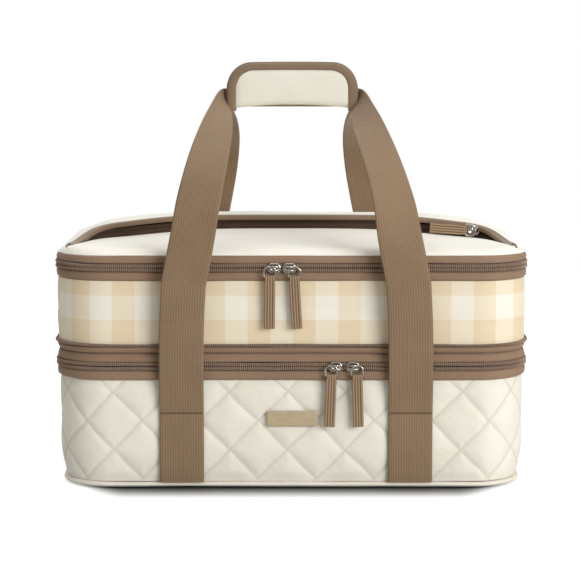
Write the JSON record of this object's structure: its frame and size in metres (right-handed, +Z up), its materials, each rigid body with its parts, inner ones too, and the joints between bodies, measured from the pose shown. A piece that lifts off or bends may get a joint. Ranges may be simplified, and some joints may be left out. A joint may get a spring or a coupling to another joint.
{
  "type": "casserole carrier",
  "caption": "Insulated casserole carrier bag with a quilted lower tub, gingham upper tier, zipped lid with pocket and webbing handles joined in a padded wrap grip.",
  "frame": {"origin": "centre of the base panel's underside, on the floor", "axes": "+X along the bag's length, to the right as seen from the front; +Y to the rear; +Z up"},
  "size_m": [0.4159, 0.3416, 0.361],
  "materials": {
    "quilted_cloth": "woven polyester, quilted",
    "lid_cloth": "woven polyester",
    "gingham_cloth": "printed gingham check",
    "zip_tape": "woven zip tape",
    "zip_chain": "nylon coil",
    "webbing": "ribbed webbing",
    "pull_webbing": "narrow webbing",
    "nickel": "polished nickel",
    "foil_lining": "foil-faced film",
    "stiff_board": "plain",
    "edge_binding": "folded grosgrain",
    "grip_cloth": "padded woven polyester",
    "label_leather": "smooth, bare"
  },
  "bodies": {
    "tub": {"base_panel": "quilted_cloth", "base_welt": "quilted_cloth", "base_board": "stiff_board", "lower_wall": "quilted_cloth", "lower_liner": "foil_lining", "lower_zip_tape_below": "zip_tape", "lower_zip_chain_below": "zip_chain", "label_patch": "label_leather", "front_left_strap_base": "webbing", "front_right_strap_base": "webbing", "rear_left_strap_base": "webbing", "rear_right_strap_base": "webbing"},
    "middle": {"lower_zip_chain_above": "zip_chain", "lower_zip_tape_above": "zip_tape", "expansion_tape": "zip_tape", "expansion_teeth_below": "zip_chain", "divider_panel": "foil_lining"},
    "upper": {"gingham_wall": "gingham_cloth", "upper_liner": "foil_lining", "expansion_teeth_above": "zip_chain", "top_zip_tape_below": "zip_tape", "top_zip_chain_below": "zip_chain"},
    "lid": {"top_zip_chain_above": "zip_chain", "top_zip_tape_above": "zip_tape", "lid_core": "lid_cloth", "lid_lining": "foil_lining", "pocket_panel": "lid_cloth", "pocket_zip_tape": "zip_tape", "lid_flap": "lid_cloth", "flap_binding": "edge_binding"},
    "front_straps": {"front_left_strap": "webbing", "front_right_strap": "webbing"},
    "front_handle": {"front_handle_strap": "webbing"},
    "rear_straps": {"rear_left_strap": "webbing", "rear_right_strap": "webbing"},
    "rear_handle": {"rear_handle_strap": "webbing", "grip_wrap": "grip_cloth", "grip_wrap_binding": "edge_binding"},
    "grip_front": {"grip_flap": "grip_cloth", "grip_flap_binding": "edge_binding"},
    "top_left_slider": {"top_left_slider": "nickel"},
    "top_left_pull": {"top_left_ring": "nickel", "top_left_pull": "pull_webbing"},
    "top_right_slider": {"top_right_slider": "nickel"},
    "top_right_pull": {"top_right_ring": "nickel", "top_right_pull": "pull_webbing"},
    "lower_left_slider": {"lower_left_slider": "nickel"},
    "lower_left_pull": {"lower_left_ring": "nickel", "lower_left_pull": "pull_webbing"},
    "lower_right_slider": {"lower_right_slider": "nickel"},
    "lower_right_pull": {"lower_right_ring": "nickel", "lower_right_pull": "pull_webbing"},
    "expansion_slider": {"expansion_slider": "nickel"},
    "expansion_pull": {"expansion_ring": "nickel", "expansion_pull": "pull_webbing"},
    "pocket_slider": {"pocket_slider": "nickel"},
    "pocket_pull": {"pocket_ring": "nickel", "pocket_pull": "pull_webbing"}
  },
  "joints": [
    {"name": "lower_open", "type": "hinge", "parent": "tub", "child": "middle", "pos_m": [0, 0.1525, 0.1064], "axis": [-1, 0, 0], "range_deg": [0, 60]},
    {"name": "collapse", "type": "slide", "parent": "middle", "child": "upper", "axis": [0, 0, -1], "range_m": [0, 0.05], "deforming": ["gingham_wall", "upper_liner"]},
    {"name": "lid_open", "type": "hinge", "parent": "upper", "child": "lid", "pos_m": [0, 0.1525, 0.1913], "axis": [-1, 0, 0], "range_deg": [0, 95], "deforming": ["grip_flap", "grip_flap_binding"]},
    {"name": "front_strap_fold", "type": "hinge", "parent": "tub", "child": "front_straps", "pos_m": [0, -0.1544, 0.0669], "axis": [1, 0, 0], "range_deg": [0, 66]},
    {"name": "front_handle_fold", "type": "hinge", "parent": "front_straps", "child": "front_handle", "pos_m": [0, -0.1698, 0.18], "axis": [1, 0, 0], "range_deg": [0, 86]},
    {"name": "rear_strap_fold", "type": "hinge", "parent": "tub", "child": "rear_straps", "pos_m": [0, 0.1544, 0.0669], "axis": [-1, 0, 0], "range_deg": [0, 66]},
    {"name": "rear_handle_fold", "type": "hinge", "parent": "rear_straps", "child": "rear_handle", "pos_m": [0, 0.1698, 0.18], "axis": [-1, 0, 0], "range_deg": [0, 86]},
    {"name": "grip_open", "type": "hinge", "parent": "rear_handle", "child": "grip_front", "pos_m": [0, -0.0301, 0.32], "axis": [1, 0, 0], "range_deg": [0, 110]},
    {"name": "top_left_zip", "type": "slide", "parent": "upper", "child": "top_left_slider", "axis": [-1, 0, 0], "range_m": [0, 0.13]},
    {"name": "top_left_pull_swing", "type": "hinge", "parent": "top_left_slider", "child": "top_left_pull", "pos_m": [-0.0175, -0.1579, 0.1913], "axis": [-1, 0, 0], "range_deg": [0, 140]},
    {"name": "top_right_zip", "type": "slide", "parent": "upper", "child": "top_right_slider", "axis": [1, 0, 0], "range_m": [0, 0.145]},
    {"name": "top_right_pull_swing", "type": "hinge", "parent": "top_right_slider", "child": "top_right_pull", "pos_m": [-0.0022, -0.1579, 0.1913], "axis": [-1, 0, 0], "range_deg": [0, 140]},
    {"name": "lower_left_zip", "type": "slide", "parent": "tub", "child": "lower_left_slider", "axis": [-1, 0, 0], "range_m": [0, 0.105]},
    {"name": "lower_left_pull_swing", "type": "hinge", "parent": "lower_left_slider", "child": "lower_left_pull", "pos_m": [0.0377, -0.1579, 0.1064], "axis": [-1, 0, 0], "range_deg": [0, 140]},
    {"name": "lower_right_zip", "type": "slide", "parent": "tub", "child": "lower_right_slider", "axis": [1, 0, 0], "range_m": [0, 0.018]},
    {"name": "lower_right_pull_swing", "type": "hinge", "parent": "lower_right_slider", "child": "lower_right_pull", "pos_m": [0.0526, -0.1579, 0.1064], "axis": [-1, 0, 0], "range_deg": [0, 140]},
    {"name": "expansion_zip", "type": "slide", "parent": "middle", "child": "expansion_slider", "axis": [0, -1, 0], "range_m": [0, 0.19]},
    {"name": "expansion_pull_swing", "type": "hinge", "parent": "expansion_slider", "child": "expansion_pull", "pos_m": [-0.2086, 0.092, 0.12462], "axis": [0, 1, 0], "range_deg": [0, 140]},
    {"name": "pocket_zip", "type": "slide", "parent": "lid", "child": "pocket_slider", "axis": [-0.9976, 0, 0.0698], "range_m": [0, 0.05]},
    {"name": "pocket_pull_swing", "type": "hinge", "parent": "pocket_slider", "child": "pocket_pull", "pos_m": [0.16, -0.0336, 0.2114], "axis": [0.0698, 0, 0.9976], "range_deg": [0, 120]}
  ],
  "couplings": [
    {"joint": "front_strap_fold", "follows": "lower_open", "ratio": 1.1},
    {"joint": "rear_strap_fold", "follows": "lower_open", "ratio": 1.1},
    {"joint": "front_handle_fold", "follows": "lid_open", "ratio": 0.9},
    {"joint": "rear_handle_fold", "follows": "lid_open", "ratio": 0.9}
  ]
}
